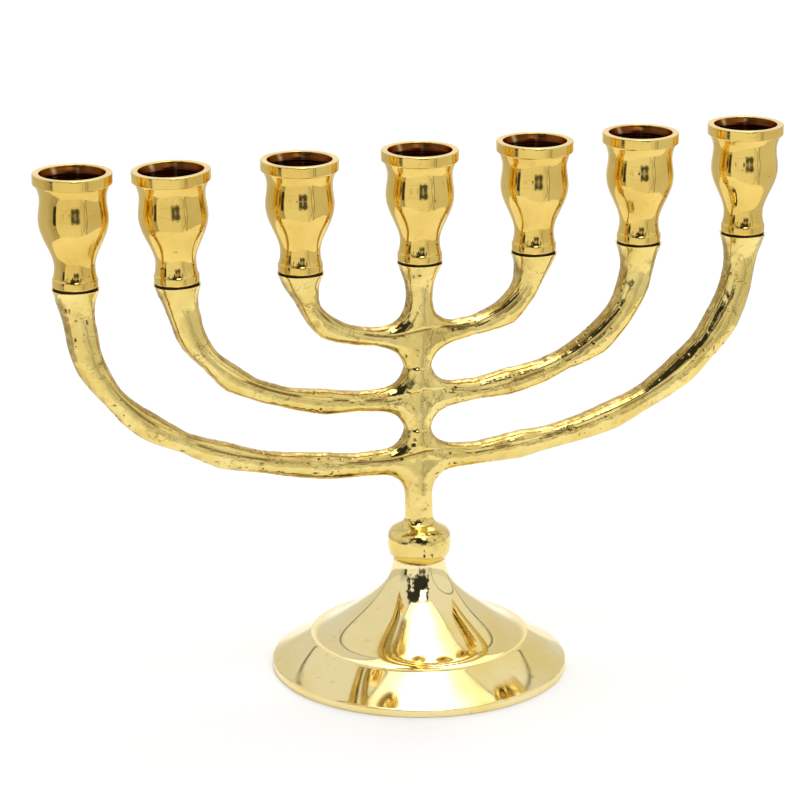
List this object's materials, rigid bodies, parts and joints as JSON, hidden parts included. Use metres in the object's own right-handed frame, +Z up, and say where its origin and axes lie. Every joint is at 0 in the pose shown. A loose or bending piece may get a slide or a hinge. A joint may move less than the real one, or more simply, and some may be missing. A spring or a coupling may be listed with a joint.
{
  "type": "seven-branch candelabrum",
  "caption": "Polished brass candelabrum with paired curved arms on a central stem, a round flared base and turned candle cups that unscrew.",
  "frame": {"origin": "centre of the base, on the surface that it stands on", "axes": "+Z up along the stem, +X along the arms to the right cups, -Y to the front"},
  "size_m": [0.2698, 0.104, 0.1885],
  "materials": {
    "base_brass": "mirror-polished pale brass",
    "cast_brass": "polished over a cast surface, with pits, file marks and a little tarnish",
    "turned_brass": "turned and polished, darker and ringed inside the socket",
    "screw_brass": "plain machined, dulled"
  },
  "bodies": {
    "base": {"base": "base_brass", "base_washer": "screw_brass", "base_nut": "screw_brass"},
    "base_screw": {"base_stud": "screw_brass"},
    "frame": {"casting": "cast_brass"},
    "screw_left_outer": {"stud_left_outer": "screw_brass"},
    "holder_left_outer": {"cup_left_outer": "turned_brass"},
    "screw_left_middle": {"stud_left_middle": "screw_brass"},
    "holder_left_middle": {"cup_left_middle": "turned_brass"},
    "screw_left_inner": {"stud_left_inner": "screw_brass"},
    "holder_left_inner": {"cup_left_inner": "turned_brass"},
    "screw_centre": {"stud_centre": "screw_brass"},
    "holder_centre": {"cup_centre": "turned_brass"},
    "screw_right_inner": {"stud_right_inner": "screw_brass"},
    "holder_right_inner": {"cup_right_inner": "turned_brass"},
    "screw_right_middle": {"stud_right_middle": "screw_brass"},
    "holder_right_middle": {"cup_right_middle": "turned_brass"},
    "screw_right_outer": {"stud_right_outer": "screw_brass"},
    "holder_right_outer": {"cup_right_outer": "turned_brass"}
  },
  "joints": [
    {"name": "frame_turn", "type": "hinge", "parent": "base", "child": "base_screw", "pos_m": [0, 0, 0.04], "axis": [0, 0, 1], "range_deg": [0, 2880]},
    {"name": "frame_rise", "type": "slide", "parent": "base_screw", "child": "frame", "axis": [0, 0, 1], "range_m": [0, 0.01]},
    {"name": "left_outer_turn", "type": "hinge", "parent": "frame", "child": "screw_left_outer", "pos_m": [-0.1215, 0, 0.149], "axis": [0, 0, 1], "range_deg": [0, 2880]},
    {"name": "left_outer_rise", "type": "slide", "parent": "screw_left_outer", "child": "holder_left_outer", "axis": [0, 0, 1], "range_m": [0, 0.0064]},
    {"name": "left_middle_turn", "type": "hinge", "parent": "frame", "child": "screw_left_middle", "pos_m": [-0.0865, 0, 0.1475], "axis": [-0.0349, 0, 0.9994], "range_deg": [0, 2880]},
    {"name": "left_middle_rise", "type": "slide", "parent": "screw_left_middle", "child": "holder_left_middle", "axis": [-0.0349, 0, 0.9994], "range_m": [0, 0.0064]},
    {"name": "left_inner_turn", "type": "hinge", "parent": "frame", "child": "screw_left_inner", "pos_m": [-0.043, 0, 0.1475], "axis": [0, 0, 1], "range_deg": [0, 2880]},
    {"name": "left_inner_rise", "type": "slide", "parent": "screw_left_inner", "child": "holder_left_inner", "axis": [0, 0, 1], "range_m": [0, 0.0064]},
    {"name": "centre_turn", "type": "hinge", "parent": "frame", "child": "screw_centre", "pos_m": [0, 0, 0.1475], "axis": [0, 0, 1], "range_deg": [0, 2880]},
    {"name": "centre_rise", "type": "slide", "parent": "screw_centre", "child": "holder_centre", "axis": [0, 0, 1], "range_m": [0, 0.0064]},
    {"name": "right_inner_turn", "type": "hinge", "parent": "frame", "child": "screw_right_inner", "pos_m": [0.042, 0, 0.1475], "axis": [0, 0, 1], "range_deg": [0, 2880]},
    {"name": "right_inner_rise", "type": "slide", "parent": "screw_right_inner", "child": "holder_right_inner", "axis": [0, 0, 1], "range_m": [0, 0.0064]},
    {"name": "right_middle_turn", "type": "hinge", "parent": "frame", "child": "screw_right_middle", "pos_m": [0.0815, 0, 0.1475], "axis": [0, 0, 1], "range_deg": [0, 2880]},
    {"name": "right_middle_rise", "type": "slide", "parent": "screw_right_middle", "child": "holder_right_middle", "axis": [0, 0, 1], "range_m": [0, 0.0064]},
    {"name": "right_outer_turn", "type": "hinge", "parent": "frame", "child": "screw_right_outer", "pos_m": [0.1215, 0, 0.1475], "axis": [0, 0, 1], "range_deg": [0, 2880]},
    {"name": "right_outer_rise", "type": "slide", "parent": "screw_right_outer", "child": "holder_right_outer", "axis": [0, 0, 1], "range_m": [0, 0.0064]}
  ],
  "couplings": [
    {"joint": "frame_turn", "follows": "frame_rise", "rad_per_m": 5026},
    {"joint": "left_outer_turn", "follows": "left_outer_rise", "rad_per_m": 7853.2},
    {"joint": "left_middle_turn", "follows": "left_middle_rise", "rad_per_m": 7853.2},
    {"joint": "left_inner_turn", "follows": "left_inner_rise", "rad_per_m": 7853.2},
    {"joint": "centre_turn", "follows": "centre_rise", "rad_per_m": 7853.2},
    {"joint": "right_inner_turn", "follows": "right_inner_rise", "rad_per_m": 7853.2},
    {"joint": "right_middle_turn", "follows": "right_middle_rise", "rad_per_m": 7853.2},
    {"joint": "right_outer_turn", "follows": "right_outer_rise", "rad_per_m": 7853.2}
  ]
}
